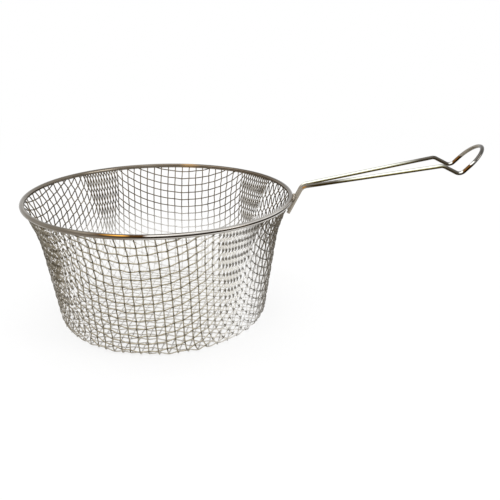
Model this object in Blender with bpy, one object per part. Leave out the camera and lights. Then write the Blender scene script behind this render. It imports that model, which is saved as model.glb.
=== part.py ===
"""Chip basket: a bowl drawn from one piece of woven wire mesh, a round rim and a bent wire handle.

Metres, +Z up. The origin is the middle of the base, on the plane that the basket stands on, and the
handle points along +X. The mesh is one square of plain-woven wire, drawn down into the bowl, so its
wires keep their spacing while the weave's squares lean into diamonds on the four diagonals. The
source shows one rib for every few wires of the real mesh, each on the path of the wire it stands for.
"""
import math

import bmesh
import bpy
from mathutils import Vector

# Rim
RIM_DIAMETER = 0.2000          # outside
RIM_WIRE_DIAMETER = 0.0035
RIM_HEIGHT = 0.0938            # centre of the rim's wire above the base

# Bowl, measured on its outside
BASE_DIAMETER = 0.1594         # where the straight wall would meet the base
CORNER_RADIUS = 0.0060
WALL_TOP_DIAMETER = 0.1858     # the straight wall, carried on to the rim's height
FLARE_HEIGHT = 0.0340          # the last part of the wall, which opens out to the rim

# Woven mesh
MESH_PITCH = 0.00635
MESH_WIRE_DIAMETER = 0.0009
WIRES_PER_RIB = 4
CROSSING_OVERLAP = 0.4         # how far two crossing ribs run into each other, in rib diameters
CROSSING_FLAT = 0.0060         # length of rib that stays level where it crosses another on the base
FOOT_DEPTH = 0.00015           # cut off the lowest crossings, so the base stands on small flats
SMALLEST_BEND = math.radians(10)   # a rib's path is drawn straight through any smaller bend

# Handle, as seen from the side: distances from the bowl's axis and heights above the base
HANDLE_WIRE_DIAMETER = 0.0027
LEG_LEAN = math.radians(26)    # the legs' lower ends lean out from the vertical
LEG_BELOW_RIM = 0.0110
LEG_ABOVE_RIM = 0.0090
LEG_END_SPACING = 0.0080
DIP_START_REACH = 0.2025
DIP_START_HEIGHT = 0.1228
DIP_END_REACH = 0.2147
DIP_END_HEIGHT = 0.1169
LOOP_WIDTH = 0.0297            # between the legs' centre lines
LOOP_LENGTH = 0.0233
LOOP_RISE = math.radians(47)
HEEL_BEND_RADIUS = 0.0065
DIP_BEND_RADIUS = 0.0050
LOOP_BEND_RADIUS = 0.0045

CLEARANCE = 0.0003             # between pieces that touch on the real basket

# Fineness of the shapes
RIB_BEVEL_RESOLUTION = 1       # six-sided ribs
HANDLE_BEVEL_RESOLUTION = 2    # an eight-sided handle wire
RIM_SEGMENTS = 96
RIM_SIDES = 8
BEND_STEPS = 4
LOOP_STEPS = 6
WELD_DISTANCE = 0.00001
SHARP_ANGLE = math.radians(50)

STEEL_MESH = ("tinned_mesh_steel", (0.58, 0.55, 0.51), 0.38)
STEEL_RIM = ("plated_rim_steel", (0.66, 0.63, 0.58), 0.16)
STEEL_HANDLE = ("plated_handle_steel", (0.68, 0.66, 0.62), 0.14)

RIM_CENTRE_RADIUS = (RIM_DIAMETER - RIM_WIRE_DIAMETER) / 2
RIB_DIAMETER = MESH_WIRE_DIAMETER * math.sqrt(WIRES_PER_RIB)
RIB_OFFSET = RIB_DIAMETER * (1 - CROSSING_OVERLAP) / 2
MESH_HALF_THICKNESS = RIB_OFFSET + RIB_DIAMETER / 2
BASE_LEVEL = MESH_HALF_THICKNESS - FOOT_DEPTH


# Scene

def clear_scene():
    for item in list(bpy.data.objects):
        bpy.data.objects.remove(item)


def new_collection(name):
    collection = bpy.data.collections.new(name)
    bpy.context.scene.collection.children.link(collection)
    return collection


def steel(name, colour, roughness):
    material = bpy.data.materials.new(name)
    material.use_nodes = True
    shader = material.node_tree.nodes["Principled BSDF"]
    shader.inputs["Base Color"].default_value = (*colour, 1.0)
    shader.inputs["Metallic"].default_value = 1.0
    shader.inputs["Roughness"].default_value = roughness
    return material


def smooth(mesh):
    mesh.shade_smooth()
    mesh.set_sharp_from_angle(angle=SHARP_ANGLE)


# The bowl's surface, half way through the mesh

class BowlSurface:
    """A surface of revolution, read by the length along its profile from the middle of the base."""

    BASE_STEPS = 200
    CORNER_STEPS = 24
    WALL_STEP = 0.0004
    BEYOND_RIM = 0.016

    def __init__(self):
        self.points = self.profile()
        self.lengths = [0.0]
        for last, point in zip(self.points, self.points[1:]):
            self.lengths.append(self.lengths[-1] + math.dist(last, point))
        self.rim_length = self.length_at_height(RIM_HEIGHT)

    def wall_radius(self, height):
        """Radius of the wall's outside, less half the mesh's thickness across the wall."""
        lean = math.atan2((WALL_TOP_DIAMETER - BASE_DIAMETER) / 2, RIM_HEIGHT)
        straight = BASE_DIAMETER / 2 + height * math.tan(lean) - MESH_HALF_THICKNESS / math.cos(lean)
        top = WALL_TOP_DIAMETER / 2 - MESH_HALF_THICKNESS / math.cos(lean)
        into_flare = max(0.0, 1 - (RIM_HEIGHT - height) / FLARE_HEIGHT)
        return straight + (RIM_CENTRE_RADIUS - top) * into_flare ** 2

    def profile(self):
        """The base, the corner's arc and the wall, as points of radius and height."""
        lean = math.atan2((WALL_TOP_DIAMETER - BASE_DIAMETER) / 2, RIM_HEIGHT)
        turn = math.pi / 2 - lean
        radius = CORNER_RADIUS - MESH_HALF_THICKNESS
        flat_edge = self.wall_radius(BASE_LEVEL) - radius * math.tan(turn / 2)
        points = [(flat_edge * i / self.BASE_STEPS, BASE_LEVEL) for i in range(self.BASE_STEPS + 1)]
        for i in range(1, self.CORNER_STEPS + 1):
            angle = turn * i / self.CORNER_STEPS
            rise = radius * (1 - math.cos(angle))
            points.append((flat_edge + radius * math.sin(angle), BASE_LEVEL + rise))
        height = points[-1][1] + self.WALL_STEP
        while height < RIM_HEIGHT + self.BEYOND_RIM:
            points.append((self.wall_radius(height), height))
            height += self.WALL_STEP
        return points

    def length_at_height(self, height):
        for i, (last, point) in enumerate(zip(self.points, self.points[1:])):
            if last[1] <= height < point[1]:
                share = (height - last[1]) / (point[1] - last[1])
                return self.lengths[i] + share * (self.lengths[i + 1] - self.lengths[i])
        raise ValueError("the height is not on the bowl's wall")

    def interval(self, length):
        low, high = 0, len(self.lengths) - 2
        while low < high:
            middle = (low + high + 1) // 2
            if self.lengths[middle] <= length:
                low = middle
            else:
                high = middle - 1
        return low

    def at(self, length, azimuth):
        """The point, the unit direction up the profile, the direction round the axis and the outward normal."""
        i = self.interval(length)
        (r0, z0), (r1, z1) = self.points[i], self.points[i + 1]
        span = self.lengths[i + 1] - self.lengths[i]
        share = (length - self.lengths[i]) / span
        radius, height = r0 + (r1 - r0) * share, z0 + (z1 - z0) * share
        rise = (z1 - z0) / span
        run = (r1 - r0) / span
        outward = Vector((math.cos(azimuth), math.sin(azimuth), 0))
        up = Vector((0, 0, 1))
        point = outward * radius + up * height
        along = outward * run + up * rise
        around = Vector((-outward.y, outward.x, 0)) * radius
        normal = outward * rise - up * run
        return point, along, around, normal


# The drawn net: each node lies one pitch from the two before it

MOST_TRIES = 30
CLOSE_ENOUGH = 1e-9


def next_node(surface, first, second, guess):
    """The profile length and azimuth of the node one pitch from both given points, by Newton's method."""
    length, azimuth = guess
    for _ in range(MOST_TRIES):
        point, along, around, _ = surface.at(length, azimuth)
        to_first, to_second = point - first, point - second
        miss_first = (to_first.length_squared - MESH_PITCH ** 2) / 2
        miss_second = (to_second.length_squared - MESH_PITCH ** 2) / 2
        a, b = to_first.dot(along), to_first.dot(around)
        c, d = to_second.dot(along), to_second.dot(around)
        scale = a * d - b * c
        step_length = (d * miss_first - b * miss_second) / scale
        step_azimuth = (a * miss_second - c * miss_first) / scale
        length -= step_length
        azimuth -= step_azimuth
        if abs(step_length) < CLOSE_ENOUGH:
            break
    return length, azimuth


def quarter_net(surface):
    """Nodes of the quarter between +X and +Y, by whole pitches counted along each axis."""
    reach = surface.rim_length + MESH_PITCH
    count = int(reach / MESH_PITCH) + 1
    nodes = {}
    for i in range(count):
        nodes[i, 0] = (i * MESH_PITCH, 0.0)
        nodes[0, i] = (i * MESH_PITCH, math.pi / 2)
    nodes[0, 0] = (0.0, math.pi / 4)
    for i in range(1, count):
        for j in range(1, count):
            if (i - 1, j) not in nodes or (i, j - 1) not in nodes:
                continue
            first = surface.at(*nodes[i - 1, j])[0]
            second = surface.at(*nodes[i, j - 1])[0]
            corner = surface.at(*nodes[i - 1, j - 1])[0]
            opposite = first + second - corner
            azimuth = math.atan2(opposite.y, opposite.x)
            from_corner = (nodes[i - 1, j][0] + nodes[i, j - 1][0]) - nodes[i - 1, j - 1][0]
            node = next_node(surface, first, second, (from_corner, azimuth))
            if node[0] < reach:
                nodes[i, j] = node
    return nodes


def mirrored(node, flip_x, flip_y):
    length, azimuth = node
    if flip_x:
        azimuth = math.pi - azimuth
    if flip_y:
        azimuth = -azimuth
    return length, azimuth


def wire_nodes(nodes, index, along_x):
    """One wire of the mesh from rim to rim: its nodes and their counts, for a wire along X or along Y."""
    wire = []
    far = max(max(key) for key in nodes)
    for count in range(-far, far + 1):
        key = (abs(count), abs(index)) if along_x else (abs(index), abs(count))
        if key in nodes:
            flip_x = (count if along_x else index) < 0
            flip_y = (index if along_x else count) < 0
            wire.append((count, mirrored(nodes[key], flip_x, flip_y)))
    return wire


# Ribs

def halfway(surface, first, second):
    """The node on the surface half way between two nodes that are at most a pitch or so apart."""
    a, b = surface.at(*first)[0], surface.at(*second)[0]
    middle = (a + b) / 2
    inward = middle.xy.length - (a.xy.length + b.xy.length) / 2
    return (first[0] + second[0]) / 2 + inward, math.atan2(middle.y, middle.x)


def swing(count, index, along_x):
    """How far out of the mesh's middle a rib lies at a place along it, in RIB_OFFSETs: 1 is right outside."""
    side = 1 if along_x else -1
    return side * math.cos(math.pi * (count + index) / WIRES_PER_RIB)


def rib_point(surface, node, out):
    point, _, _, normal = surface.at(*node)
    return point + normal * (out * RIB_OFFSET)


def end_at_rim(surface, inner, outer, index, along_x):
    """The end of a rib at the rim's height, between a node below it and one above it."""
    (inner_count, inner_node), (outer_count, outer_node) = inner, outer
    share = (surface.rim_length - inner_node[0]) / (outer_node[0] - inner_node[0])
    turn = (outer_node[1] - inner_node[1] + math.pi) % (2 * math.pi) - math.pi
    end = surface.rim_length, inner_node[1] + turn * share
    return rib_point(surface, end, swing(inner_count + (outer_count - inner_count) * share, index, along_x))


def crossing_points(surface, before, node, after, out):
    """The rib's middle at a crossing: one point on the wall, or two for a level stretch on the base."""
    centre = rib_point(surface, node, out)
    if surface.at(*node)[0].z > BASE_LEVEL + CLEARANCE:
        return [centre]
    along = (surface.at(*after)[0] - surface.at(*before)[0]).normalized()
    return [centre - along * (CROSSING_FLAT / 2), centre + along * (CROSSING_FLAT / 2)]


def rib_path(surface, wire, index, along_x):
    """Points of one rib from rim to rim, over and under the ribs that it crosses."""
    inside = [k for k, (_, node) in enumerate(wire) if node[0] < surface.rim_length]
    first, last = inside[0], inside[-1]
    path = [end_at_rim(surface, wire[first], wire[first - 1], index, along_x)]
    for k in range(first, last + 1):
        count, node = wire[k]
        before, after = wire[k - 1][1], wire[k + 1][1]
        out = swing(count, index, along_x)
        if count % WIRES_PER_RIB == 0:
            path += crossing_points(surface, before, node, after, out)
        elif bend(surface, before, node, after) > SMALLEST_BEND:
            path.append(rib_point(surface, node, out))
        middle = halfway(surface, node, after)
        if k < last and bend(surface, node, middle, after) > SMALLEST_BEND:
            path.append(rib_point(surface, middle, swing(count + 0.5, index, along_x)))
    path.append(end_at_rim(surface, wire[last], wire[last + 1], index, along_x))
    return path


def bend(surface, before, node, after):
    """How far a wire turns at a node."""
    here = surface.at(*node)[0]
    arriving = here - surface.at(*before)[0]
    leaving = surface.at(*after)[0] - here
    return arriving.angle(leaving)


def wire_curve(name, paths, diameter, bevel_resolution):
    """A curve object of round wires, one POLY spline for each path."""
    data = bpy.data.curves.new(name, "CURVE")
    data.dimensions = "3D"
    data.bevel_depth = diameter / 2
    data.bevel_resolution = bevel_resolution
    data.use_fill_caps = True
    for path in paths:
        spline = data.splines.new("POLY")
        spline.points.add(len(path) - 1)
        for point, place in zip(spline.points, path):
            point.co = (*place, 1.0)
    return bpy.data.objects.new(name, data)


def curve_as_mesh(curve, collection):
    """The curve's tubes as a mesh object with its caps welded. The curve is removed."""
    bpy.context.scene.collection.objects.link(curve)
    evaluated = curve.evaluated_get(bpy.context.evaluated_depsgraph_get())
    mesh = bpy.data.meshes.new_from_object(evaluated)
    shape = bmesh.new()
    shape.from_mesh(mesh)
    bmesh.ops.remove_doubles(shape, verts=shape.verts, dist=WELD_DISTANCE)
    shape.to_mesh(mesh)
    shape.free()
    name = curve.name
    place = curve.matrix_world.copy()
    bpy.data.objects.remove(curve)
    solid = bpy.data.objects.new(name, mesh)
    solid.matrix_world = place
    collection.objects.link(solid)
    return solid


def add_boolean(target, name, other, operation):
    modifier = target.modifiers.new(name, "BOOLEAN")
    modifier.operation = operation
    modifier.solver = "EXACT"
    modifier.object = other


def as_cutter(item):
    item.hide_render = True
    item.display_type = "WIRE"
    return item


def placed(name, collection):
    """The primitive just made, named and moved to its collection."""
    item = bpy.context.object
    item.name = name
    for other in list(item.users_collection):
        other.objects.unlink(item)
    collection.objects.link(item)
    return item


def rim_torus(name, section_radius, collection):
    bpy.ops.mesh.primitive_torus_add(
        major_segments=RIM_SEGMENTS, minor_segments=RIM_SIDES, major_radius=RIM_CENTRE_RADIUS,
        minor_radius=section_radius, location=(0, 0, RIM_HEIGHT),
    )
    return placed(name, collection)


def below_floor(name, collection):
    """A block whose top is the plane that the basket stands on."""
    bpy.ops.mesh.primitive_cube_add(size=RIM_DIAMETER, location=(0, 0, -RIM_DIAMETER / 2))
    return placed(name, collection)


def make_mesh_bowl(parts, cutters):
    """Two sets of ribs joined where they cross, cut clear of the rim's wire."""
    surface = BowlSurface()
    nodes = quarter_net(surface)
    far = max(max(key) for key in nodes) // WIRES_PER_RIB
    sets = {}
    for name, along_x in (("mesh_bowl", True), ("cross_ribs", False)):
        paths = []
        for rib in range(-far, far + 1):
            index = rib * WIRES_PER_RIB
            wire = wire_nodes(nodes, index, along_x)
            if any(node[0] < surface.rim_length for _, node in wire):
                paths.append(rib_path(surface, wire, index, along_x))
        sets[name] = wire_curve(name, paths, RIB_DIAMETER, RIB_BEVEL_RESOLUTION)
    bowl = curve_as_mesh(sets["mesh_bowl"], parts)
    cross_ribs = as_cutter(curve_as_mesh(sets["cross_ribs"], cutters))
    rim_clearance = as_cutter(rim_torus("rim_clearance", RIM_WIRE_DIAMETER / 2 + CLEARANCE, cutters))
    foot_cut = as_cutter(below_floor("foot_cut", cutters))
    add_boolean(bowl, "join_ribs", cross_ribs, "UNION")
    add_boolean(bowl, "clear_rim", rim_clearance, "DIFFERENCE")
    add_boolean(bowl, "flatten_feet", foot_cut, "DIFFERENCE")
    bowl.data.materials.append(steel(*STEEL_MESH))
    smooth(bowl.data)


def make_rim(parts):
    rim = rim_torus("rim_ring", RIM_WIRE_DIAMETER / 2, parts)
    rim.data.materials.append(steel(*STEEL_RIM))
    smooth(rim.data)


# Handle

def rounded(corners, radii):
    """The corners joined by straight lines, with an arc of the given radius at each inner corner."""
    path = [corners[0]]
    for i in range(1, len(corners) - 1):
        before = (corners[i - 1] - corners[i]).normalized()
        after = (corners[i + 1] - corners[i]).normalized()
        turn = math.pi - before.angle(after)
        setback = radii[i - 1] * math.tan(turn / 2)
        middle = (before + after).normalized()
        centre = corners[i] + middle * (radii[i - 1] / math.cos(turn / 2))
        start = corners[i] + before * setback - centre
        end = corners[i] + after * setback - centre
        for k in range(BEND_STEPS + 1):
            share = k / BEND_STEPS
            spoke = start * math.sin((1 - share) * turn) + end * math.sin(share * turn)
            path.append(centre + spoke / math.sin(turn))
    path.append(corners[-1])
    return path


def handle_path():
    """Half of the handle, from the end of one leg to the middle of the loop, then its mirror image."""
    seat = RIM_WIRE_DIAMETER / 2 + CLEARANCE + HANDLE_WIRE_DIAMETER / 2
    reach_at_rim = RIM_CENTRE_RADIUS + seat / math.cos(LEG_LEAN)
    leg_side = LEG_END_SPACING / 2
    loop_side = LOOP_WIDTH / 2
    end = Vector((reach_at_rim - LEG_BELOW_RIM * math.tan(LEG_LEAN), leg_side, RIM_HEIGHT - LEG_BELOW_RIM))
    heel = Vector((reach_at_rim + LEG_ABOVE_RIM * math.tan(LEG_LEAN), leg_side, RIM_HEIGHT + LEG_ABOVE_RIM))
    dip_start = Vector((DIP_START_REACH, loop_side, DIP_START_HEIGHT))
    dip_end = Vector((DIP_END_REACH, loop_side, DIP_END_HEIGHT))
    rise = Vector((math.cos(LOOP_RISE), 0, math.sin(LOOP_RISE)))
    arc_start = dip_end + rise * (LOOP_LENGTH - loop_side)
    half = rounded(
        [end, heel, dip_start, dip_end, arc_start],
        [HEEL_BEND_RADIUS, DIP_BEND_RADIUS, LOOP_BEND_RADIUS],
    )
    arc_centre = Vector((arc_start.x, 0, arc_start.z))
    for k in range(1, LOOP_STEPS + 1):
        angle = math.pi / 2 * (1 - k / LOOP_STEPS)
        half.append(arc_centre + rise * (loop_side * math.cos(angle)) + Vector((0, loop_side * math.sin(angle), 0)))
    return half + [Vector((p.x, -p.y, p.z)) for p in reversed(half[:-1])]


def make_handle(parts):
    handle = curve_as_mesh(
        wire_curve("handle", [handle_path()], HANDLE_WIRE_DIAMETER, HANDLE_BEVEL_RESOLUTION), parts,
    )
    handle.data.materials.append(steel(*STEEL_HANDLE))
    smooth(handle.data)


def main():
    clear_scene()
    parts = new_collection("chip_basket")
    cutters = new_collection("cutters")
    make_mesh_bowl(parts, cutters)
    make_rim(parts)
    make_handle(parts)


main()
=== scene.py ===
"""Chip basket, dressed: the woven mesh wire by wire, the round rim, the bent handle and its welds.

Metres, +Z up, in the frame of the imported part: the origin is the middle of the base and the handle
points along +X. The mesh is modelled as what it is, one square of plain-woven wire drawn down
into a bowl. Its wires keep their spacing, so the squares lean into narrow diamonds on the four
diagonals.
"""
import math

import bmesh
import bpy
import numpy as np
from mathutils import Matrix, Vector, noise


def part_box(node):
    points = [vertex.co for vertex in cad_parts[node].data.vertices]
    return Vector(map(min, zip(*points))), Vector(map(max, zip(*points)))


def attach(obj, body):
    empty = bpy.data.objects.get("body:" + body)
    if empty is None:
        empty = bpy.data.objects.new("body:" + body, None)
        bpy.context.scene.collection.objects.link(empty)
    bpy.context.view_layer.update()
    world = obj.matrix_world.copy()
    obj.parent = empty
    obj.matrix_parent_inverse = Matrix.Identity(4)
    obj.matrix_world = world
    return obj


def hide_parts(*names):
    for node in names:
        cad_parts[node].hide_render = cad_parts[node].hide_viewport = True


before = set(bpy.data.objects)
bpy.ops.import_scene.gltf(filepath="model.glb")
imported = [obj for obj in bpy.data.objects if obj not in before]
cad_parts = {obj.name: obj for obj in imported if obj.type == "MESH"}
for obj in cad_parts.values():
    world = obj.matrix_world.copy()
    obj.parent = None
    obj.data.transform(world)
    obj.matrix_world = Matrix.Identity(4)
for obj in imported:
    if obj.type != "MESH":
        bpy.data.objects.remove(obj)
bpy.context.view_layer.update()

# Sizes read from the frame
RIM_LOW, RIM_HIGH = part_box("rim_ring")
RIM_WIRE_DIAMETER = RIM_HIGH.z - RIM_LOW.z
RIM_CENTRE_RADIUS = (RIM_HIGH.x - RIM_LOW.x - RIM_WIRE_DIAMETER) / 2
RIM_HEIGHT = (RIM_HIGH.z + RIM_LOW.z) / 2

# Bowl, measured on its outside
BASE_DIAMETER = 0.1594
CORNER_RADIUS = 0.0060
WALL_TOP_DIAMETER = 0.1858
FLARE_HEIGHT = 0.0340
WALL_LEAN = math.atan2((WALL_TOP_DIAMETER - BASE_DIAMETER) / 2, RIM_HEIGHT)

# Woven mesh
MESH_PITCH = 0.00635
MESH_WIRE_DIAMETER = 0.0009
MESH_HALF_THICKNESS = MESH_WIRE_DIAMETER    # one wire on each side of the middle at a crossing
WIRE_PRESSED_TOGETHER = 0.00004             # how far two wires bed into each other there
PHASE_X, PHASE_Y = 0.83, 0.30               # of a pitch, from the bowl's axis to the next wires

# Handle, as in the part: distances from the bowl's axis and heights above the base
HANDLE_WIRE_DIAMETER = 0.0027
LEG_LEAN = math.radians(26)
LEG_BELOW_RIM = 0.0110
LEG_ABOVE_RIM = 0.0090
LEG_END_SPACING = 0.0080
DIP_START_REACH = 0.2025
DIP_START_HEIGHT = 0.1228
DIP_END_REACH = 0.2147
DIP_END_HEIGHT = 0.1169
LOOP_WIDTH = 0.0297
LOOP_LENGTH = 0.0233
LOOP_RISE = math.radians(47)
HEEL_BEND_RADIUS = 0.0065
DIP_BEND_RADIUS = 0.0050
LOOP_BEND_RADIUS = 0.0045
CLEARANCE = 0.0003

# Welds between the rim and the handle's legs
WELD_HALF_SIZE = (0.0011, 0.0023, 0.0020)
WELD_RIPPLE = 0.0003
WELD_RIPPLE_SCALE = 900.0    # per metre

# Fineness
STEPS_PER_PITCH = 5
MESH_WIRE_SIDES = 8
RIM_SEGMENTS = 240
THICK_WIRE_SIDES = 20
BEND_STEPS = 12
LOOP_STEPS = 20
WELD_SUBDIVISIONS = 4
SHARP_ANGLE = math.radians(60)

# Camera, from the photograph: its place, where it points and its lens, in millimetres
CAMERA_PLACE = Vector((0.0992, -0.4225, 0.2108))
CAMERA_HEADING = math.radians(4.21)
CAMERA_PITCH = math.radians(-20.68)
CAMERA_ROLL = math.radians(0.28)
CAMERA_LENS = 42.24
SENSOR_WIDTH = 36.0
CAMERA_NEAREST = 0.01

BODY = "root"


# The bowl's surface, half way through the mesh

class BowlSurface:
    """A surface of revolution, read by the length along its profile from the middle of the base."""

    BASE_STEPS = 200
    CORNER_STEPS = 24
    WALL_STEP = 0.0004
    BEYOND_RIM = 0.020

    def __init__(self):
        self.radii, self.heights = np.array(self.profile()).T
        steps = np.hypot(np.diff(self.radii), np.diff(self.heights))
        self.lengths = np.concatenate([[0.0], np.cumsum(steps)])
        self.runs = np.gradient(self.radii, self.lengths)
        self.rises = np.gradient(self.heights, self.lengths)
        on_wall = self.heights > self.heights[0]
        self.rim_length = float(np.interp(RIM_HEIGHT, self.heights[on_wall], self.lengths[on_wall]))

    def wall_radius(self, height):
        """Radius of the wall's outside, less half the mesh's thickness across the wall."""
        inset = MESH_HALF_THICKNESS / math.cos(WALL_LEAN)
        straight = BASE_DIAMETER / 2 + height * math.tan(WALL_LEAN) - inset
        top = WALL_TOP_DIAMETER / 2 - inset
        into_flare = max(0.0, 1 - (RIM_HEIGHT - height) / FLARE_HEIGHT)
        return straight + (RIM_CENTRE_RADIUS - top) * into_flare ** 2

    def profile(self):
        """The base, the corner's arc and the wall, as points of radius and height."""
        turn = math.pi / 2 - WALL_LEAN
        level = MESH_HALF_THICKNESS
        radius = CORNER_RADIUS - MESH_HALF_THICKNESS
        flat_edge = self.wall_radius(level) - radius * math.tan(turn / 2)
        points = [(flat_edge * i / self.BASE_STEPS, level) for i in range(self.BASE_STEPS + 1)]
        for i in range(1, self.CORNER_STEPS + 1):
            angle = turn * i / self.CORNER_STEPS
            outward, upward = radius * math.sin(angle), radius * (1 - math.cos(angle))
            points.append((flat_edge + outward, level + upward))
        height = points[-1][1] + self.WALL_STEP
        while height < RIM_HEIGHT + self.BEYOND_RIM:
            points.append((self.wall_radius(height), height))
            height += self.WALL_STEP
        return points

    def at(self, length, azimuth):
        """Points, directions up the profile and round the axis, and outward normals."""
        radius = np.interp(length, self.lengths, self.radii)
        height = np.interp(length, self.lengths, self.heights)
        run = np.interp(length, self.lengths, self.runs)
        rise = np.interp(length, self.lengths, self.rises)
        cos, sin = np.cos(azimuth), np.sin(azimuth)
        nothing = np.zeros_like(radius)
        point = np.stack([radius * cos, radius * sin, height], -1)
        along = np.stack([run * cos, run * sin, rise], -1)
        around = np.stack([-radius * sin, radius * cos, nothing], -1)
        normal = np.stack([rise * cos, rise * sin, -run], -1)
        return point, along, around, normal


# The drawn net: each node lies one pitch from the two before it

MOST_TRIES = 30
CLOSE_ENOUGH = 1e-9


def next_node(surface, first, second, guess):
    """Length and azimuth of the node one pitch from both given points, by Newton's method."""
    length, azimuth = guess
    for _ in range(MOST_TRIES):
        point, along, around, _ = surface.at(length, azimuth)
        to_first, to_second = point - first, point - second
        miss_first = (to_first @ to_first - MESH_PITCH ** 2) / 2
        miss_second = (to_second @ to_second - MESH_PITCH ** 2) / 2
        a, b = to_first @ along, to_first @ around
        c, d = to_second @ along, to_second @ around
        scale = a * d - b * c
        step_length = (d * miss_first - b * miss_second) / scale
        step_azimuth = (a * miss_second - c * miss_first) / scale
        length -= step_length
        azimuth -= step_azimuth
        if abs(step_length) < CLOSE_ENOUGH:
            break
    return length, azimuth


def quarter_net(surface):
    """Nodes of the quarter between +X and +Y, by whole pitches counted along each axis."""
    reach = surface.rim_length + 2 * MESH_PITCH
    count = int(reach / MESH_PITCH) + 1
    nodes = {}
    for i in range(count):
        nodes[i, 0] = (i * MESH_PITCH, 0.0)
        nodes[0, i] = (i * MESH_PITCH, math.pi / 2)
    nodes[0, 0] = (0.0, math.pi / 4)
    for i in range(1, count):
        for j in range(1, count):
            if (i - 1, j) not in nodes or (i, j - 1) not in nodes:
                continue
            first = surface.at(*nodes[i - 1, j])[0]
            second = surface.at(*nodes[i, j - 1])[0]
            corner = surface.at(*nodes[i - 1, j - 1])[0]
            opposite = first + second - corner
            azimuth = math.atan2(opposite[1], opposite[0])
            from_corner = nodes[i - 1, j][0] + nodes[i, j - 1][0] - nodes[i - 1, j - 1][0]
            node = next_node(surface, first, second, (from_corner, azimuth))
            if node[0] < reach:
                nodes[i, j] = node
    return nodes


# The net eased: its wires slip and give a little in the draw, so that no diamond closes up

EASING_ROUNDS = 1500
EASING_SHARE = 0.45
LEAST_SPAN, MOST_SPAN = 0.97 * MESH_PITCH, 1.05 * MESH_PITCH    # of wire between crossings
LEAST_OPENING = 0.0026                                          # the short way across a diamond


def eased(surface, nodes):
    """The net moved bit by bit until its wires are near one pitch long and its diamonds open."""
    number = {key: k for k, key in enumerate(nodes)}

    def pairs(step_x, step_y):
        apart = [(key, (key[0] + step_x, key[1] + step_y)) for key in nodes]
        return [(number[a], number[b]) for a, b in apart if b in nodes]

    spans, openings = pairs(1, 0) + pairs(0, 1), pairs(1, -1)
    first, second = np.array(spans + openings).T
    least = np.array([LEAST_SPAN] * len(spans) + [LEAST_OPENING] * len(openings))
    most = np.array([MOST_SPAN] * len(spans) + [np.inf] * len(openings))
    lengths, azimuths = np.array(list(nodes.values())).T
    on_axis = np.array([min(key) == 0 for key in nodes])
    for _ in range(EASING_ROUNDS):
        point, along, around, _ = surface.at(lengths, azimuths)
        apart = point[second] - point[first]
        distance = np.linalg.norm(apart, axis=1)
        excess = (distance - np.clip(distance, least, most)) / distance
        move = apart * (excess * EASING_SHARE / 2)[:, None]
        shift = np.zeros_like(point)
        np.add.at(shift, first, move)
        np.add.at(shift, second, -move)
        around_squared = np.maximum(np.sum(around * around, axis=1), CLOSE_ENOUGH)
        turn = np.sum(shift * around, axis=1) / around_squared
        lengths = lengths + np.where(lengths > 0, np.sum(shift * along, axis=1), 0)
        azimuths = azimuths + np.where(on_axis, 0, turn)
    return {key: (lengths[k], azimuths[k]) for key, k in number.items()}


def whole_net(nodes):
    """The quarter mirrored to all four, its wires moved off the axes by part of a pitch."""
    far = max(max(key) for key in nodes)
    flat = {}
    for (i, j), (length, azimuth) in nodes.items():
        for x, y in {(i, j), (-i, j), (i, -j), (-i, -j)}:
            across = math.copysign(length * math.cos(azimuth), x)
            flat[x, y] = np.array([across, math.copysign(length * math.sin(azimuth), y)])
    moved = {}
    for x in range(-far, far):
        for y in range(-far, far):
            corners = [(x, y), (x + 1, y), (x, y + 1), (x + 1, y + 1)]
            if all(corner in flat for corner in corners):
                near, right, above, beyond = (flat[corner] for corner in corners)
                low = near + (right - near) * PHASE_X
                high = above + (beyond - above) * PHASE_X
                place = low + (high - low) * PHASE_Y
                moved[x, y] = (math.hypot(*place), math.atan2(place[1], place[0]))
    return moved


def wire_nodes(nodes, index, along_x):
    """One wire from rim to rim: its nodes' counts, profile lengths and azimuths."""
    far = max(max(key) for key in nodes) + 1
    keys = [(count, index) if along_x else (index, count) for count in range(-far, far)]
    return np.array([(sum(key) - index, *nodes[key]) for key in keys if key in nodes])


def through(values, places):
    """Values at fractional places along a row, on a smooth curve through it (Catmull-Rom)."""
    last = len(values) - 1
    k = np.clip(np.floor(places).astype(int), 0, last - 1)
    t = places - k
    t = t if values.ndim == 1 else t[:, None]
    before, start = values[np.maximum(k - 1, 0)], values[k]
    end, after = values[k + 1], values[np.minimum(k + 2, last)]
    squared = 2 * before - 5 * start + 4 * end - after
    cubed = 3 * start - before - 3 * end + after
    return 0.5 * (2 * start + (end - before) * t + squared * t ** 2 + cubed * t ** 3)


def woven_course(surface, wire, index, along_x):
    """One wire over and under the others.

    Gives its centre points, outward normals, profile lengths and nearness to a crossing.
    """
    counts, lengths, azimuths = wire.T
    nodes = surface.at(lengths, azimuths)[0]
    places = np.linspace(0, len(wire) - 1, (len(wire) - 1) * STEPS_PER_PITCH + 1)
    guide = through(nodes, places)
    inward = np.hypot(*guide[:, :2].T) - through(np.hypot(*nodes[:, :2].T), places)
    length = through(lengths, places) + inward
    point, _, _, normal = surface.at(length, np.arctan2(guide[:, 1], guide[:, 0]))
    side = 1 if along_x else -1
    first_over = side * (-1) ** int(counts[0] + index)
    swing = MESH_WIRE_DIAMETER / 2 - WIRE_PRESSED_TOGETHER / 2
    point = point + normal * (first_over * swing * np.cos(math.pi * places))[:, None]
    from_crossing = np.abs(places - np.round(places))
    return point, normal, length, 1 - 2 * from_crossing


# Tubes

def unit(vectors):
    """Rows of vectors brought to length 1."""
    return vectors / np.linalg.norm(vectors, axis=1, keepdims=True)


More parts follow.
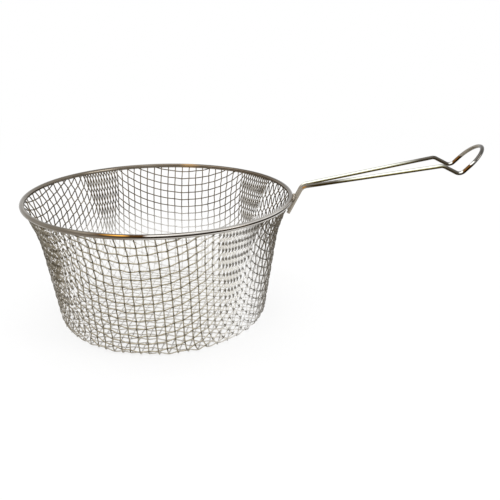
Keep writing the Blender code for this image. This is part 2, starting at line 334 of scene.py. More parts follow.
def tube_rings(centres, outward, radius, sides, closed=False):
    """The vertices of a round tube along centre points, its seam on the outward side."""
    if closed:
        tangent = np.roll(centres, -1, 0) - np.roll(centres, 1, 0)
    else:
        tangent = np.gradient(centres, axis=0)
    tangent = unit(tangent)
    up = unit(outward - tangent * np.sum(outward * tangent, axis=1, keepdims=True))
    across = np.cross(tangent, up)
    angle = 2 * math.pi * np.arange(sides) / sides
    spokes = up[:, None] * np.cos(angle)[:, None] + across[:, None] * np.sin(angle)[:, None]
    return centres[:, None] + spokes * radius


def tube_faces(rings, sides, start, closed=False):
    """Quads along a tube whose vertices begin at start, and a cap at each end of an open one."""
    def corner(ring, side):
        return start + (ring % rings) * sides + side % sides

    spans = rings if closed else rings - 1
    faces = [
        (corner(r, s), corner(r, s + 1), corner(r + 1, s + 1), corner(r + 1, s))
        for r in range(spans) for s in range(sides)
    ]
    if not closed:
        faces.append(tuple(corner(0, s) for s in reversed(range(sides))))
        faces.append(tuple(corner(rings - 1, s) for s in range(sides)))
    return faces


def piece_from(name, vertices, faces, material, slot, *nodes, **marks):
    """A smooth piece that rides on the one body, stands for the given CAD nodes and bears marks."""
    mesh = bpy.data.meshes.new(name)
    mesh.from_pydata(vertices, [], faces)
    mesh.shade_smooth()
    mesh.set_sharp_from_angle(angle=SHARP_ANGLE)
    mesh.materials.append(material)
    for mark, values in marks.items():
        mesh.attributes.new(mark, "FLOAT", "POINT").data.foreach_set("value", values)
    piece = bpy.data.objects.new(name, mesh)
    bpy.context.scene.collection.objects.link(piece)
    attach(piece, BODY)
    if nodes:
        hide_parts(*nodes)


def weave(name, surface, nodes, along_x, material):
    """All the wires of one direction, from under the rim, down the wall and across the base."""
    far = max(max(key) for key in nodes) + 1
    facing = np.cos(2 * math.pi * np.arange(MESH_WIRE_SIDES) / MESH_WIRE_SIDES)
    vertices, faces, outside, crossing = [], [], [], []
    start = 0
    for index in range(-far, far + 1):
        wire = wire_nodes(nodes, index, along_x)
        if len(wire) < 2 or wire[:, 1].min() > surface.rim_length - MESH_PITCH / 2:
            continue
        centres, normals, lengths, nearness = woven_course(surface, wire, index, along_x)
        kept = np.flatnonzero(lengths < surface.rim_length)
        kept = np.arange(max(kept[0] - 1, 0), min(kept[-1] + 2, len(lengths)))
        centres, normals, lengths, nearness = (
            row[kept] for row in (centres, normals, lengths, nearness)
        )
        for end, inner in ((0, 1), (-1, -2)):
            share = (surface.rim_length - lengths[inner]) / (lengths[end] - lengths[inner])
            if 0 < share < 1:
                centres[end] = centres[inner] + (centres[end] - centres[inner]) * share
        rings = tube_rings(centres, normals, MESH_WIRE_DIAMETER / 2, MESH_WIRE_SIDES)
        vertices.append(rings.reshape(-1, 3))
        faces += tube_faces(len(centres), MESH_WIRE_SIDES, start)
        outside.append(np.tile(facing, len(centres)))
        crossing.append(np.repeat(nearness, MESH_WIRE_SIDES))
        start += len(centres) * MESH_WIRE_SIDES
    piece_from(
        name, np.concatenate(vertices), faces, material, "mesh_steel", "mesh_bowl",
        outside=np.concatenate(outside), crossing=np.concatenate(crossing),
    )


# Handle

def rounded(corners, radii):
    """Straight lines from corner to corner, with an arc of the given radius at each inner one."""
    path = [corners[0]]
    for i in range(1, len(corners) - 1):
        before = (corners[i - 1] - corners[i]).normalized()
        after = (corners[i + 1] - corners[i]).normalized()
        turn = math.pi - before.angle(after)
        setback = radii[i - 1] * math.tan(turn / 2)
        middle = (before + after).normalized()
        centre = corners[i] + middle * (radii[i - 1] / math.cos(turn / 2))
        start = corners[i] + before * setback - centre
        end = corners[i] + after * setback - centre
        for k in range(BEND_STEPS + 1):
            share = k / BEND_STEPS
            spoke = start * math.sin((1 - share) * turn) + end * math.sin(share * turn)
            path.append(centre + spoke / math.sin(turn))
    path.append(corners[-1])
    return path


def seat_reach():
    """Distance from the axis to the legs' centre lines at the rim's height."""
    seat = RIM_WIRE_DIAMETER / 2 + CLEARANCE + HANDLE_WIRE_DIAMETER / 2
    return RIM_CENTRE_RADIUS + seat / math.cos(LEG_LEAN)


def handle_path():
    """Half of the handle, from a leg's end to the middle of the loop, then its mirror image."""
    reach = seat_reach()
    slope = math.tan(LEG_LEAN)
    leg_side = LEG_END_SPACING / 2
    loop_side = LOOP_WIDTH / 2
    end = Vector((reach - LEG_BELOW_RIM * slope, leg_side, RIM_HEIGHT - LEG_BELOW_RIM))
    heel = Vector((reach + LEG_ABOVE_RIM * slope, leg_side, RIM_HEIGHT + LEG_ABOVE_RIM))
    dip_start = Vector((DIP_START_REACH, loop_side, DIP_START_HEIGHT))
    dip_end = Vector((DIP_END_REACH, loop_side, DIP_END_HEIGHT))
    rise = Vector((math.cos(LOOP_RISE), 0, math.sin(LOOP_RISE)))
    arc_start = dip_end + rise * (LOOP_LENGTH - loop_side)
    half = rounded(
        [end, heel, dip_start, dip_end, arc_start],
        [HEEL_BEND_RADIUS, DIP_BEND_RADIUS, LOOP_BEND_RADIUS],
    )
    arc_centre = Vector((arc_start.x, 0, arc_start.z))
    for k in range(1, LOOP_STEPS + 1):
        angle = math.pi / 2 * (1 - k / LOOP_STEPS)
        onward = rise * (loop_side * math.cos(angle))
        half.append(arc_centre + onward + Vector((0, loop_side * math.sin(angle), 0)))
    return half + [Vector((p.x, -p.y, p.z)) for p in reversed(half[:-1])]


def make_handle(material):
    """The handle's wire, its seam kept on the upper side of the legs and of the loop."""
    centres = np.array(handle_path())
    tangent = unit(np.gradient(centres, axis=0))
    sideways = np.cross(tangent, [0.0, 1.0, 0.0])
    level = np.tile([-math.sin(LOOP_RISE), 0.0, math.cos(LOOP_RISE)], (len(centres), 1))
    bent = np.abs(tangent[:, 1:2])
    side = np.sign(np.sum(sideways * level, axis=1, keepdims=True))
    outward = sideways * side * (1 - bent) + level * bent
    rings = tube_rings(centres, outward, HANDLE_WIRE_DIAMETER / 2, THICK_WIRE_SIDES)
    faces = tube_faces(len(centres), THICK_WIRE_SIDES, 0)
    piece_from("handle_wire", rings.reshape(-1, 3), faces, material, "handle_steel", "handle")


def make_welds(material):
    """A flat bead of weld between the rim and each leg of the handle."""
    reach = RIM_CENTRE_RADIUS + RIM_WIRE_DIAMETER / 2 + CLEARANCE / 2
    beads = bmesh.new()
    for side in (-1, 1):
        place = Matrix.Translation((reach, side * LEG_END_SPACING / 2, RIM_HEIGHT))
        shape = Matrix.Rotation(LEG_LEAN, 4, "Y") @ Matrix.Diagonal((*WELD_HALF_SIZE, 1.0))
        bmesh.ops.create_icosphere(
            beads, subdivisions=WELD_SUBDIVISIONS, radius=1.0, matrix=place @ shape,
        )
    for vertex in beads.verts:
        ripple = noise.noise(vertex.co * WELD_RIPPLE_SCALE)
        vertex.co += Vector((1.0, 0.0, 0.0)) * ripple * WELD_RIPPLE
    vertices = [vertex.co[:] for vertex in beads.verts]
    faces = [[vertex.index for vertex in face.verts] for face in beads.faces]
    beads.free()
    piece_from("leg_welds", vertices, faces, material, "handle_steel")


def make_rim(material):
    """The ring of round wire over the cut ends of the mesh."""
    turn = 2 * math.pi * np.arange(RIM_SEGMENTS) / RIM_SEGMENTS
    outward = np.stack([np.cos(turn), np.sin(turn), np.zeros(RIM_SEGMENTS)], -1)
    centres = outward * RIM_CENTRE_RADIUS + [0.0, 0.0, RIM_HEIGHT]
    rings = tube_rings(centres, outward, RIM_WIRE_DIAMETER / 2, THICK_WIRE_SIDES, closed=True)
    faces = tube_faces(RIM_SEGMENTS, THICK_WIRE_SIDES, 0, closed=True)
    piece_from("rim_bead", rings.reshape(-1, 3), faces, material, "rim_steel", "rim_ring")


# Node helpers

def blended(tree, share, below, above):
    """The linked share of one colour over another, each a plain colour or an output."""
    mixed = tree.nodes.new("ShaderNodeMix")
    mixed.data_type = "RGBA"
    for name, source in (("Factor", share), ("A", below), ("B", above)):
        socket = next(s for s in mixed.inputs if s.name == name and s.enabled)
        if isinstance(source, bpy.types.NodeSocket):
            tree.links.new(source, socket)
        else:
            socket.default_value = (*source, 1.0)
    return next(s for s in mixed.outputs if s.enabled)


class Steel:
    """A metal whose colour, roughness and bump come from nodes in the object's own space."""

    NOISE_DETAIL = 3.0

    def __init__(self, name):
        self.material = bpy.data.materials.new(name)
        self.material.use_nodes = True
        self.tree = self.material.node_tree
        self.shader = self.tree.nodes["Principled BSDF"]
        self.shader.inputs["Metallic"].default_value = 1.0
        self.place = self.tree.nodes.new("ShaderNodeTexCoord")

    def node(self, kind, output, *linked, **values):
        """The named output of a new node, its first inputs linked and other values set."""
        made = self.tree.nodes.new(kind)
        for key, value in values.items():
            if key in made.inputs:
                made.inputs[key].default_value = value
            else:
                setattr(made, key, value)
        for source, target in zip(linked, made.inputs):
            self.tree.links.new(source, target)
        return made.outputs[output]

    def mark(self, name):
        """A value that the mesh bears at its vertices."""
        return self.node("ShaderNodeAttribute", "Fac", attribute_name=name)

    def noise(self, scale):
        """Soft noise about 0.5, its scale per metre."""
        return self.node(
            "ShaderNodeTexNoise", "Fac", self.place.outputs["Object"],
            Scale=scale, Detail=self.NOISE_DETAIL,
        )

    def along(self, axis):
        """The place along one axis of the basket, in metres."""
        return self.node("ShaderNodeSeparateXYZ", axis, self.place.outputs["Object"])

    def upward(self):
        """0 where the surface faces straight down and 1 where it faces straight up."""
        split = self.node("ShaderNodeSeparateXYZ", "Z", self.place.outputs["Normal"])
        return self.stretch(split, -1, 1)

    def stretch(self, value, low, high, to_low=0.0, to_high=1.0):
        """The value moved from one range to another, and kept within it."""
        moved = self.node("ShaderNodeMapRange", "Result", value)
        for socket, number in zip(moved.node.inputs[1:5], (low, high, to_low, to_high)):
            socket.default_value = number
        return moved

    def band(self, value, begins, full, fades, ends):
        """1 where the value lies from full to fades, and 0 before begins and after ends."""
        return self.both(self.stretch(value, begins, full), self.stretch(value, ends, fades))

    def both(self, *shares):
        """The product of all the shares."""
        total, *others = shares
        for share in others:
            total = self.node("ShaderNodeMath", "Value", total, share, operation="MULTIPLY")
        return total

    def most(self, first, second):
        """The greater of two values."""
        return self.node("ShaderNodeMath", "Value", first, second, operation="MAXIMUM")

    def tones(self, value, stops):
        """A colour read from the value by stops of place and colour."""
        ramp = self.node("ShaderNodeValToRGB", "Color", value)
        elements = ramp.node.color_ramp.elements
        while len(elements) < len(stops):
            elements.new(1.0)
        for element, (place, colour) in zip(elements, stops):
            element.position = place
            element.color = (*colour, 1.0)
        return ramp

    def mix(self, share, below, above):
        """The share of the colour above over the colour below."""
        return blended(self.tree, share, below, above)

    def finish(self, colour, roughness, height, strength, distance):
        """Link the colour, the roughness and the fine unevenness, and return the material."""
        self.tree.links.new(colour, self.shader.inputs["Base Color"])
        self.tree.links.new(roughness, self.shader.inputs["Roughness"])
        bump = self.node("ShaderNodeBump", "Normal", Strength=strength, Distance=distance)
        self.tree.links.new(height, bump.node.inputs["Height"])
        self.tree.links.new(bump, self.shader.inputs["Normal"])
        return self.material


# Materials. A row named BAND says where a look begins, is full, fades and ends. Any other says from
# where to where a value runs, then what it gives there where that isn't 0 to 1. Places are metres
# along the basket's axes, a facing is 0 straight down and 1 straight up, and noise is per metre.

# Tinned mesh: colours by the place across the basket, 0 at the left of the rim and 1 at its right.
# They are painted reflections: darker towards both ends, with a white band of painted highlights
# on the right diagonal. The flanks of a wire take the lighter row, a painted highlight too.
BASKET_SIDES = (-0.1, 0.1)
OUTER_REFLECTION_TONES = [
    (0.040, (0.050, 0.042, 0.030)),
    (0.200, (0.165, 0.140, 0.092)),
    (0.500, (0.255, 0.220, 0.145)),
    (0.690, (0.275, 0.238, 0.162)),
    (0.790, (0.850, 0.820, 0.760)),
    (0.840, (1.000, 0.990, 0.970)),
    (0.895, (0.070, 0.058, 0.040)),
]
FLANK_HIGHLIGHT_TONES = [
    (0.060, (0.050, 0.042, 0.030)),
    (0.220, (0.320, 0.280, 0.215)),
    (0.500, (0.460, 0.415, 0.325)),
    (0.700, (0.500, 0.455, 0.365)),
    (0.790, (0.920, 0.900, 0.850)),
    (0.840, (1.000, 0.990, 0.970)),
    (0.905, (0.170, 0.150, 0.120)),
]

# Which side of a wire it is, by the mark that is 1 facing out of the bowl and -1 facing into it
FACING_OUT = (-0.5, 0.0)
FACING_IN = (0.0, -0.5)
FLANK_TO_FACE = (0.50, 0.78)
OFF_THE_FLANK = (0.1, 0.6)

# Tin rubbed bright in patches, with painted glints on the left, and duller tin inside
WEAR_SCALE = 140.0
WEAR = (0.35, 0.65)
MOST_RUBBED = 0.18
RUBBED_TIN = (0.82, 0.78, 0.68)
MESH_GLINT_BAND = (0.12, 0.20, 0.27, 0.36)
MESH_GLINT_SCALE = 420.0
MESH_GLINTS = (0.55, 0.61)
MESH_GLINT_TONE = (0.97, 0.95, 0.93)
DULL_TIN = (0.072, 0.055, 0.036)
USED_TIN = (0.165, 0.136, 0.098)

# Pale film of dried oil inside, below the oil line: by height, and by the place towards the back.
# Its pale tone is also a painted highlight, making the far wall's inner side pale
WALL_FOOT = (0.003, 0.007)
OIL_LINE = (0.062, 0.034)
FILM_HIGHLIGHT_ON_WALL = (-0.03, 0.02, 0.45, 0.95)
FILM_HIGHLIGHT_ON_BASE = (-0.06, 0.04, 0.45, 0.85)
FILM_HIGHLIGHT_TONE = (0.95, 0.94, 0.92)
FILM_METALLIC = 0.15
FILM_ROUGHNESS = 0.7

# Residue where the wires cross, with painted shade there, drawn out along them where they lean
# together on the right
AT_CROSSING = (0.56, 0.87)
ALONG_WIRE = (0.38, 0.72)
LEANING_BAND = (0.70, 0.78, 0.88, 0.93)
RESIDUE_SHADE_SCALE = 260.0
RESIDUE_SHADE_PATCHES = (0.36, 0.56, 0.4, 1.0)
LEANING_RESIDUE_SHADE = 0.9
RESIDUE_SHADE_TONE = (0.045, 0.031, 0.011)
RESIDUE_SHADE_INSIDE = (0.15, 0.12, 0.08)
RESIDUE_SHADE_IN_FILM = (0.85, 0.83, 0.80)

MESH_GRAIN_SCALE = 900.0
MESH_GRAIN_STRENGTH, MESH_GRAIN_DEPTH = 0.2, 0.0001
MESH_ROUGHNESS = (0.18, 0.36)


def tinned_mesh_steel():
    """Tinned wire: brown outside with painted reflections and, on the right, painted highlights;
    painted glints on the left; a pale film inside that also paints highlights on the far wall;
    residue with painted shade at the crossings.
    """
    steel = Steel("tinned_mesh_steel")
    turned = steel.mark("outside")
    outside, inside = steel.stretch(turned, *FACING_OUT), steel.stretch(turned, *FACING_IN)
    face = steel.node("ShaderNodeMath", "Value", turned, operation="ABSOLUTE")
    crossing = steel.mark("crossing")
    across = steel.stretch(steel.along("X"), *BASKET_SIDES)
    backward, height = steel.along("Y"), steel.along("Z")
    wear = steel.noise(WEAR_SCALE)

    rubbed = steel.stretch(wear, *WEAR, 0.0, MOST_RUBBED)
    # Painted reflections across the basket, lighter on the wires' flanks as a painted highlight
    outer = steel.mix(rubbed, steel.tones(across, OUTER_REFLECTION_TONES), RUBBED_TIN)
    outer = steel.mix(steel.stretch(face, *FLANK_TO_FACE), steel.tones(across, FLANK_HIGHLIGHT_TONES), outer)
    # Painted glints on the wires at the left
    glints = steel.stretch(steel.noise(MESH_GLINT_SCALE), *MESH_GLINTS)
    outer = steel.mix(steel.both(steel.band(across, *MESH_GLINT_BAND), glints), outer, MESH_GLINT_TONE)

    # Pale film inside towards the back, its pale tone partly a painted highlight
    wall = steel.both(steel.stretch(height, *WALL_FOOT), steel.stretch(backward, *FILM_HIGHLIGHT_ON_WALL))
    film_and_highlight = steel.most(wall, steel.stretch(backward, *FILM_HIGHLIGHT_ON_BASE))
    film_and_highlight = steel.both(film_and_highlight, steel.stretch(height, *OIL_LINE))
    inner = steel.mix(steel.stretch(wear, *WEAR), DULL_TIN, USED_TIN)
    # The tin: its outside carries the painted reflections and highlights
    tin = steel.mix(outside, steel.mix(film_and_highlight, inner, FILM_HIGHLIGHT_TONE), outer)

    # Residue and painted shade at the crossings, drawn out along the wires on the right
    leaning = steel.band(across, *LEANING_BAND)
    drawn_out = steel.both(leaning, steel.stretch(crossing, *ALONG_WIRE))
    residue_and_shade = steel.most(steel.stretch(crossing, *AT_CROSSING), drawn_out)
    patches = steel.stretch(steel.noise(RESIDUE_SHADE_SCALE), *RESIDUE_SHADE_PATCHES)
    patches = steel.most(patches, steel.stretch(leaning, 0, 1, 0.0, LEANING_RESIDUE_SHADE))
    residue_and_shade = steel.both(residue_and_shade, steel.stretch(face, *OFF_THE_FLANK), patches)
    residue_shade = steel.mix(film_and_highlight, RESIDUE_SHADE_INSIDE, RESIDUE_SHADE_IN_FILM)
    colour = steel.mix(residue_and_shade, tin, steel.mix(outside, residue_shade, RESIDUE_SHADE_TONE))

    film = steel.both(film_and_highlight, inside)
    metallic = steel.stretch(film, 0, 1, 1.0, FILM_METALLIC)
    steel.tree.links.new(metallic, steel.shader.inputs["Metallic"])
    grain = steel.noise(MESH_GRAIN_SCALE)
    roughness = steel.most(
        steel.stretch(film, 0, 1, 0.0, FILM_ROUGHNESS),
        steel.stretch(grain, 0, 1, *MESH_ROUGHNESS),
    )
    return steel.finish(colour, roughness, grain, MESH_GRAIN_STRENGTH, MESH_GRAIN_DEPTH)


# Plated rim: painted reflections by how far the surface faces upward, 0 to 1, a dark painted
# reflection between lighter bands
RIM_REFLECTION_TONES = [
    (0.00, (0.2051, 0.1655, 0.1210)),
    (0.47, (0.2383, 0.1970, 0.1503)),
    (0.54, (0.0393, 0.0243, 0.0134)),
    (0.63, (0.0503, 0.0316, 0.0197)),
    (0.71, (0.2554, 0.2051, 0.1503)),
    (0.88, (0.1002, 0.0837, 0.0649)),
    (0.97, (0.1140, 0.0968, 0.0773)),
]
RIGHT_RIM_REFLECTION_TONES = [
    (0.15, (0.2554, 0.2383, 0.2133)),
    (0.34, (0.7633, 0.7405, 0.6954)),
    (0.42, (0.3926, 0.3640, 0.3267)),
    (0.47, (0.0045, 0.0028, 0.0015)),
    (0.69, (0.0060, 0.0039, 0.0022)),
    (0.73, (0.2728, 0.2468, 0.2216)),
    (0.79, (0.8445, 0.8211, 0.7863)),
    (0.86, (0.7633, 0.7405, 0.7066)),
    (0.93, (0.2728, 0.2554, 0.2299)),
    (0.97, (0.1002, 0.0869, 0.0741)),
]

# The front of the rim: painted highlights and a dark painted reflection on the right, a painted
# highlight on its crown, and greyer on the left
RIM_FRONT = (-0.005, -0.035)
RIGHT_REFLECTION_FROM = (-0.003, 0.011)
CROWN_FROM = (0.032, 0.050)
CROWN_FACING = (0.88, 0.94)
CROWN_HIGHLIGHT_TONE = (0.4615, 0.4416, 0.4120)
GREYED_LEFT = (-0.006, -0.034, 0.0, 0.7)
GREYED_TONE = (0.2216, 0.1970, 0.1616)

# Slow drift to brown all round
DRIFT_SCALE = 55.0
DRIFT = (0.3, 0.7, 0.0, 0.35)
DRIFT_TONE = (0.0805, 0.0589, 0.0341)

# A painted warm reflection: a straw-coloured streak in a browned band at the front's top. Heat
# tint: a fainter straw-coloured one at the back, where the ring was joined
WARM_REFLECTION_TOP_BAND = (0.66, 0.72, 0.93, 0.97)
BROWN_REFLECTION_BAND = (-0.024, -0.014, 0.011, 0.015)
BROWN_REFLECTION_TONE = (0.0531, 0.0234, 0.0057)
STRAW_REFLECTION_TOP_BAND = (0.76, 0.82, 0.91, 0.95)
STRAW_REFLECTION_BAND = (-0.016, -0.005, -0.001, 0.004)
STRAW_REFLECTION_TONE = (0.6292, 0.3176, 0.0619)
JOINED_BAND = (-0.004, 0.002, 0.008, 0.016)
RIM_BACK = (0.020, 0.040)
JOINED_TONE = (0.2905, 0.1890, 0.0935)

RIM_GRAIN_SCALE = 260.0
RIM_GRAIN_STRENGTH, RIM_GRAIN_DEPTH = 0.06, 0.0002
RIM_ROUGHNESS = (0.10, 0.20)


def plated_rim_steel():
    """Plated bead: brown-grey with painted reflections, painted highlights at the front right, a
    warm painted reflection on the front's top, and heat tint where it was joined.
    """
    steel = Steel("plated_rim_steel")
    across, backward, upward = steel.along("X"), steel.along("Y"), steel.upward()
    front = steel.stretch(backward, *RIM_FRONT)

    # Front right, where the reflections are painted as highlights
    right_reflection = steel.both(front, steel.stretch(across, *RIGHT_REFLECTION_FROM))
    # Painted reflections by facing, swapped for painted highlights at the front right
    colour = steel.mix(
        right_reflection, steel.tones(upward, RIM_REFLECTION_TONES), steel.tones(upward, RIGHT_RIM_REFLECTION_TONES),
    )
    # Painted highlight on the crown at the front right
    crown = steel.both(
        front, steel.stretch(across, *CROWN_FROM), steel.stretch(upward, *CROWN_FACING),
    )
    colour = steel.mix(crown, colour, CROWN_HIGHLIGHT_TONE)
    colour = steel.mix(steel.stretch(across, *GREYED_LEFT), colour, GREYED_TONE)
    colour = steel.mix(steel.stretch(steel.noise(DRIFT_SCALE), *DRIFT), colour, DRIFT_TONE)

    # Painted warm reflection on the front's top: brown, with a straw-coloured streak
    front_top = steel.both(front, steel.band(upward, *WARM_REFLECTION_TOP_BAND))
    brown_reflection = steel.both(front_top, steel.band(across, *BROWN_REFLECTION_BAND))
    colour = steel.mix(brown_reflection, colour, BROWN_REFLECTION_TONE)
    straw_reflection = steel.both(
        front_top, steel.band(across, *STRAW_REFLECTION_BAND), steel.band(upward, *STRAW_REFLECTION_TOP_BAND),
    )
    colour = steel.mix(straw_reflection, colour, STRAW_REFLECTION_TONE)
    joined = steel.both(steel.band(across, *JOINED_BAND), steel.stretch(backward, *RIM_BACK))
    colour = steel.mix(joined, colour, JOINED_TONE)

    grain = steel.noise(RIM_GRAIN_SCALE)
    roughness = steel.stretch(grain, 0, 1, *RIM_ROUGHNESS)
    return steel.finish(colour, roughness, grain, RIM_GRAIN_STRENGTH, RIM_GRAIN_DEPTH)


# Plated handle: colours by how far the surface faces upward, 0 to 1. Each row is painted highlight
# and shade: a lit and a darker copy for the legs, then the loop's upper and lower parts
HIGHLIGHT_SHADING_TONES = [
    (0.00, (0.0316, 0.0205, 0.0044)),
    (0.47, (0.0445, 0.0292, 0.0062)),
    (0.54, (0.3683, 0.3102, 0.0900)),
    (0.62, (0.6732, 0.6497, 0.3486)),
    (0.70, (0.8437, 0.8563, 0.7938)),
    (0.88, (0.7692, 0.7938, 0.7088)),
    (0.97, (0.2823, 0.2915, 0.2032)),
]
DARKER_SHADING_TONES = [
    (0.00, (0.0366, 0.0268, 0.0120)),
    (0.45, (0.0366, 0.0268, 0.0139)),
    (0.62, (0.0834, 0.0738, 0.0558)),
    (0.80, (0.1175, 0.1070, 0.0900)),
    (0.95, (0.0770, 0.0676, 0.0529)),
]
UPPER_LOOP_SHADING_TONES = [
    (0.30, (0.1705, 0.1510, 0.1175)),
    (0.60, (0.3102, 0.2731, 0.2201)),
    (0.85, (0.2201, 0.1990, 0.1665)),
]
LOWER_LOOP_REFLECTION_TONES = [
    (0.40, (0.0102, 0.0053, 0.0011)),
    (0.56, (0.0179, 0.0084, 0.0019)),
    (0.66, (0.2032, 0.0834, 0.0159)),
    (0.76, (0.1105, 0.0529, 0.0139)),
    (0.88, (0.0770, 0.0646, 0.0473)),
]

# Legs: painted shade underneath, further out on their lowest part, and a painted highlight along
# a part of each
NEAR_LEG = (0.001, -0.001)
UNDERSIDE_SHADE_FACING = (0.80, 0.70)
UNDERSIDE_SHADE_PLACES = (0.138, 0.120)
LOWEST_SHADE_FACING = (0.60, 0.52)
LOWEST_SHADE_PLACES = (0.175, 0.160)
UNDERSIDE_SHADE_TONE = (0.0292, 0.0179, 0.0033)
FAR_HIGHLIGHT_BAND = (0.101, 0.106, 0.168, 0.192)
NEAR_HIGHLIGHT_BAND = (0.130, 0.147, 0.197, 0.205)

# Foot of the legs, by height, and a painted orange glint on the near leg's heel
FOOT = (0.1045, 0.1015)
FOOT_TONE = (0.3486, 0.3102, 0.2551)
FOOT_ROUGHNESS = 0.5
HEEL_BAND = (0.1062, 0.1070, 0.1082, 0.1098)
HEEL_FACING_BAND = (0.34, 0.42, 0.68, 0.76)
HEEL_GLINT_TONE = (0.3984, 0.1785, 0.0316)

# Loop: grey-beige above an uneven level, shaded by facing as painted shade and darker on the near
# side; dark brown below it with an amber line, painted shade and a painted warm reflection; and
# painted highlights in one band and at a bend
LOOP_FROM = (0.2110, 0.2125)
NEAR_UPPER_LOOP_TONE = (0.0967, 0.0900, 0.0802)
EDGE_SCALE = 160.0
EDGE = (0.3, 0.7, -0.0005, 0.0005)
UPPER_LOOP_ABOVE = (0.1236, 0.1243)
LOWER_LOOP_FROM = (0.2154, 0.2162)
LOWER_LOOP_BELOW = (0.1248, 0.1241)
GLINT_BAND = (0.1238, 0.1242, 0.1262, 0.1268)
GLINT_FACING_BAND = (0.62, 0.70, 0.80, 0.85)
BEND_BAND = (0.2130, 0.2137, 0.2154, 0.2161)
BEND_FACING_BAND = (0.56, 0.64, 0.86, 0.92)
GLINT_TONE = (0.8816, 0.8689, 0.8062)

HANDLE_GRAIN_SCALE = 180.0
HANDLE_GRAIN_STRENGTH, HANDLE_GRAIN_DEPTH = 0.03, 0.0001
HANDLE_ROUGHNESS = (0.09, 0.15)


def plated_handle_steel():
    """Plated wire: painted highlights on the legs, painted olive-brown shade underneath,
    duller at the bends and the loop, with painted highlights, shade and warm reflection there.
    """
    steel = Steel("plated_handle_steel")
    reach, height, upward = steel.along("X"), steel.along("Z"), steel.upward()
    near_leg = steel.stretch(steel.along("Y"), *NEAR_LEG)

    # Painted shade under the legs
    underside_shade = steel.most(
        steel.both(steel.stretch(upward, *UNDERSIDE_SHADE_FACING), steel.stretch(reach, *UNDERSIDE_SHADE_PLACES)),
        steel.both(
            steel.stretch(upward, *LOWEST_SHADE_FACING), steel.stretch(reach, *LOWEST_SHADE_PLACES),
        ),
    )
    darker_shading = steel.mix(underside_shade, steel.tones(upward, DARKER_SHADING_TONES), UNDERSIDE_SHADE_TONE)
    # Painted highlight along a part of each leg, over the darker painted shading
    highlight_share = steel.mix(
        near_leg, steel.band(reach, *FAR_HIGHLIGHT_BAND), steel.band(reach, *NEAR_HIGHLIGHT_BAND),
    )
    colour = steel.mix(highlight_share, darker_shading, steel.tones(upward, HIGHLIGHT_SHADING_TONES))
    foot = steel.stretch(height, *FOOT)
    colour = steel.mix(foot, colour, FOOT_TONE)
    # Painted orange glint on the near leg's heel
    heel = steel.both(
        near_leg, steel.band(reach, *HEEL_BAND), steel.band(upward, *HEEL_FACING_BAND),
    )
    colour = steel.mix(heel, colour, HEEL_GLINT_TONE)

    loop = steel.stretch(reach, *LOOP_FROM)
    edge = steel.stretch(steel.noise(EDGE_SCALE), *EDGE)
    level = steel.node("ShaderNodeMath", "Value", height, edge, operation="ADD")
    # The loop's upper part, shaded by facing as painted shade, darker on the near side
    upper_loop = steel.mix(near_leg, steel.tones(upward, UPPER_LOOP_SHADING_TONES), NEAR_UPPER_LOOP_TONE)
    colour = steel.mix(steel.both(loop, steel.stretch(level, *UPPER_LOOP_ABOVE)), colour, upper_loop)
    # Dark brown below, painted shade, with an amber painted reflection along it
    lower_loop = steel.both(
        loop, steel.stretch(reach, *LOWER_LOOP_FROM), steel.stretch(level, *LOWER_LOOP_BELOW),
    )
    colour = steel.mix(lower_loop, colour, steel.tones(upward, LOWER_LOOP_REFLECTION_TONES))
    # Painted highlights: one band on the near side and one at the bend
    glint = steel.both(
        near_leg, steel.band(level, *GLINT_BAND), steel.band(upward, *GLINT_FACING_BAND),
    )
    bend = steel.both(steel.band(reach, *BEND_BAND), steel.band(upward, *BEND_FACING_BAND))
    colour = steel.mix(steel.both(loop, steel.most(glint, bend)), colour, GLINT_TONE)

    grain = steel.noise(HANDLE_GRAIN_SCALE)
    roughness = steel.most(
        steel.stretch(grain, 0, 1, *HANDLE_ROUGHNESS),
        steel.stretch(foot, 0, 1, 0.0, FOOT_ROUGHNESS),
    )
    return steel.finish(colour, roughness, grain, HANDLE_GRAIN_STRENGTH, HANDLE_GRAIN_DEPTH)


# Stage

FLOOR_SIZE = 6.0
FLOOR_COLOUR = (0.86, 0.86, 0.86)
BACKGROUND_SHARE = 0.72        # of the floor's look that is plain background, the rest being lit
LIT_RADIUS = 0.45              # beyond it the floor turns into plain background
PLAIN_RADIUS = 1.1

WHITE = (1.0, 1.0, 1.0)
PALE_ROOM = (0.90, 0.90, 0.90)

# Lamps: place, width in metres and power in watts, each pointed at the bowl
BOWL_MIDDLE = Vector((0.0, 0.0, 0.05))
LAMPS = {
    "overhead": (Vector((-0.3, -0.2, 1.4)), 1.8, 9.0),
    "window": (Vector((1.5, -0.5, 0.55)), 0.9, 9.0),
}


def direct_view(tree):
    """1 for what is seen directly, mirrored or through glass, and 0 for light on the object."""
    path = tree.nodes.new("ShaderNodeLightPath")
    total = path.outputs["Is Camera Ray"]
    for name in ("Is Glossy Ray", "Is Transmission Ray"):
        add = tree.nodes.new("ShaderNodeMath")
        add.operation = "MAXIMUM"
        tree.links.new(total, add.inputs[0])
        tree.links.new(path.outputs[name], add.inputs[1])
        total = add.outputs[0]
    return total


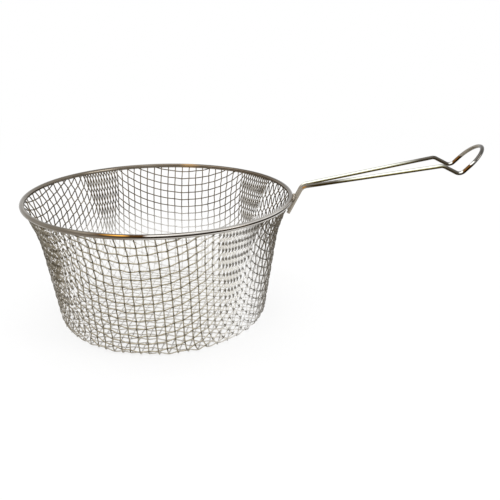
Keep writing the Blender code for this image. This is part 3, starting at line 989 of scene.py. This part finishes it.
def make_floor():
    """A pale floor that keeps the basket's shadow and turns into plain background further out."""
    bpy.ops.mesh.primitive_plane_add(size=FLOOR_SIZE)
    floor = bpy.context.object
    floor.name = "floor"
    material = bpy.data.materials.new("pale_floor")
    material.use_nodes = True
    tree = material.node_tree
    tree.nodes.remove(tree.nodes["Principled BSDF"])
    lit = tree.nodes.new("ShaderNodeBsdfDiffuse")
    lit.inputs["Color"].default_value = (*FLOOR_COLOUR, 1.0)
    plain = tree.nodes.new("ShaderNodeEmission")
    plain.inputs["Color"].default_value = (*WHITE, 1.0)
    mix = tree.nodes.new("ShaderNodeMixShader")
    share = tree.nodes.new("ShaderNodeMath")
    share.operation = "MULTIPLY"
    place = tree.nodes.new("ShaderNodeTexCoord")
    distance = tree.nodes.new("ShaderNodeVectorMath")
    distance.operation = "LENGTH"
    tree.links.new(place.outputs["Object"], distance.inputs[0])
    fade = tree.nodes.new("ShaderNodeMapRange")
    fade.interpolation_type = "SMOOTHSTEP"
    fade.inputs["From Min"].default_value = LIT_RADIUS
    fade.inputs["From Max"].default_value = PLAIN_RADIUS
    fade.inputs["To Min"].default_value = BACKGROUND_SHARE
    tree.links.new(distance.outputs["Value"], fade.inputs["Value"])
    tree.links.new(fade.outputs["Result"], share.inputs[1])
    tree.links.new(direct_view(tree), share.inputs[0])
    tree.links.new(share.outputs[0], mix.inputs["Fac"])
    tree.links.new(lit.outputs[0], mix.inputs[1])
    tree.links.new(plain.outputs[0], mix.inputs[2])
    tree.links.new(mix.outputs[0], tree.nodes["Material Output"].inputs["Surface"])
    floor.data.materials.append(material)


def make_world():
    """A plain white background, which the metal shows too, and a pale light all round."""
    world = bpy.data.worlds.new("studio")
    world.use_nodes = True
    bpy.context.scene.world = world
    tree = world.node_tree
    colour = blended(tree, direct_view(tree), PALE_ROOM, WHITE)
    tree.links.new(colour, tree.nodes["Background"].inputs["Color"])


def make_lamps():
    """Large soft disks of light, one above the basket and one at its right."""
    for name, (place, size, power) in LAMPS.items():
        data = bpy.data.lights.new(name, "AREA")
        data.shape = "DISK"
        data.size = size
        data.energy = power
        lamp = bpy.data.objects.new(name, data)
        lamp.location = place
        lamp.rotation_euler = (BOWL_MIDDLE - place).to_track_quat("-Z", "Y").to_euler()
        bpy.context.scene.collection.objects.link(lamp)


def make_camera():
    """The photograph's camera."""
    data = bpy.data.cameras.new("camera")
    data.lens = CAMERA_LENS
    data.sensor_width = SENSOR_WIDTH
    data.clip_start = CAMERA_NEAREST
    camera = bpy.data.objects.new("camera", data)
    camera.matrix_world = (
        Matrix.Translation(CAMERA_PLACE)
        @ Matrix.Rotation(CAMERA_HEADING, 4, "Z")
        @ Matrix.Rotation(math.pi / 2 + CAMERA_PITCH, 4, "X")
        @ Matrix.Rotation(CAMERA_ROLL, 4, "Z")
    )
    bpy.context.scene.collection.objects.link(camera)
    bpy.context.scene.camera = camera


def main():
    """The whole scene: camera, basket, floor, background and lamps."""
    make_camera()
    surface = BowlSurface()
    nodes = whole_net(eased(surface, quarter_net(surface)))
    mesh_steel = tinned_mesh_steel()
    for name, along_x in (("warp_wires", True), ("weft_wires", False)):
        weave(name, surface, nodes, along_x, mesh_steel)
    make_rim(plated_rim_steel())
    handle_steel = plated_handle_steel()
    make_handle(handle_steel)
    make_welds(handle_steel)
    make_floor()
    make_world()
    make_lamps()
    bpy.context.scene.view_settings.view_transform = "Standard"


main()
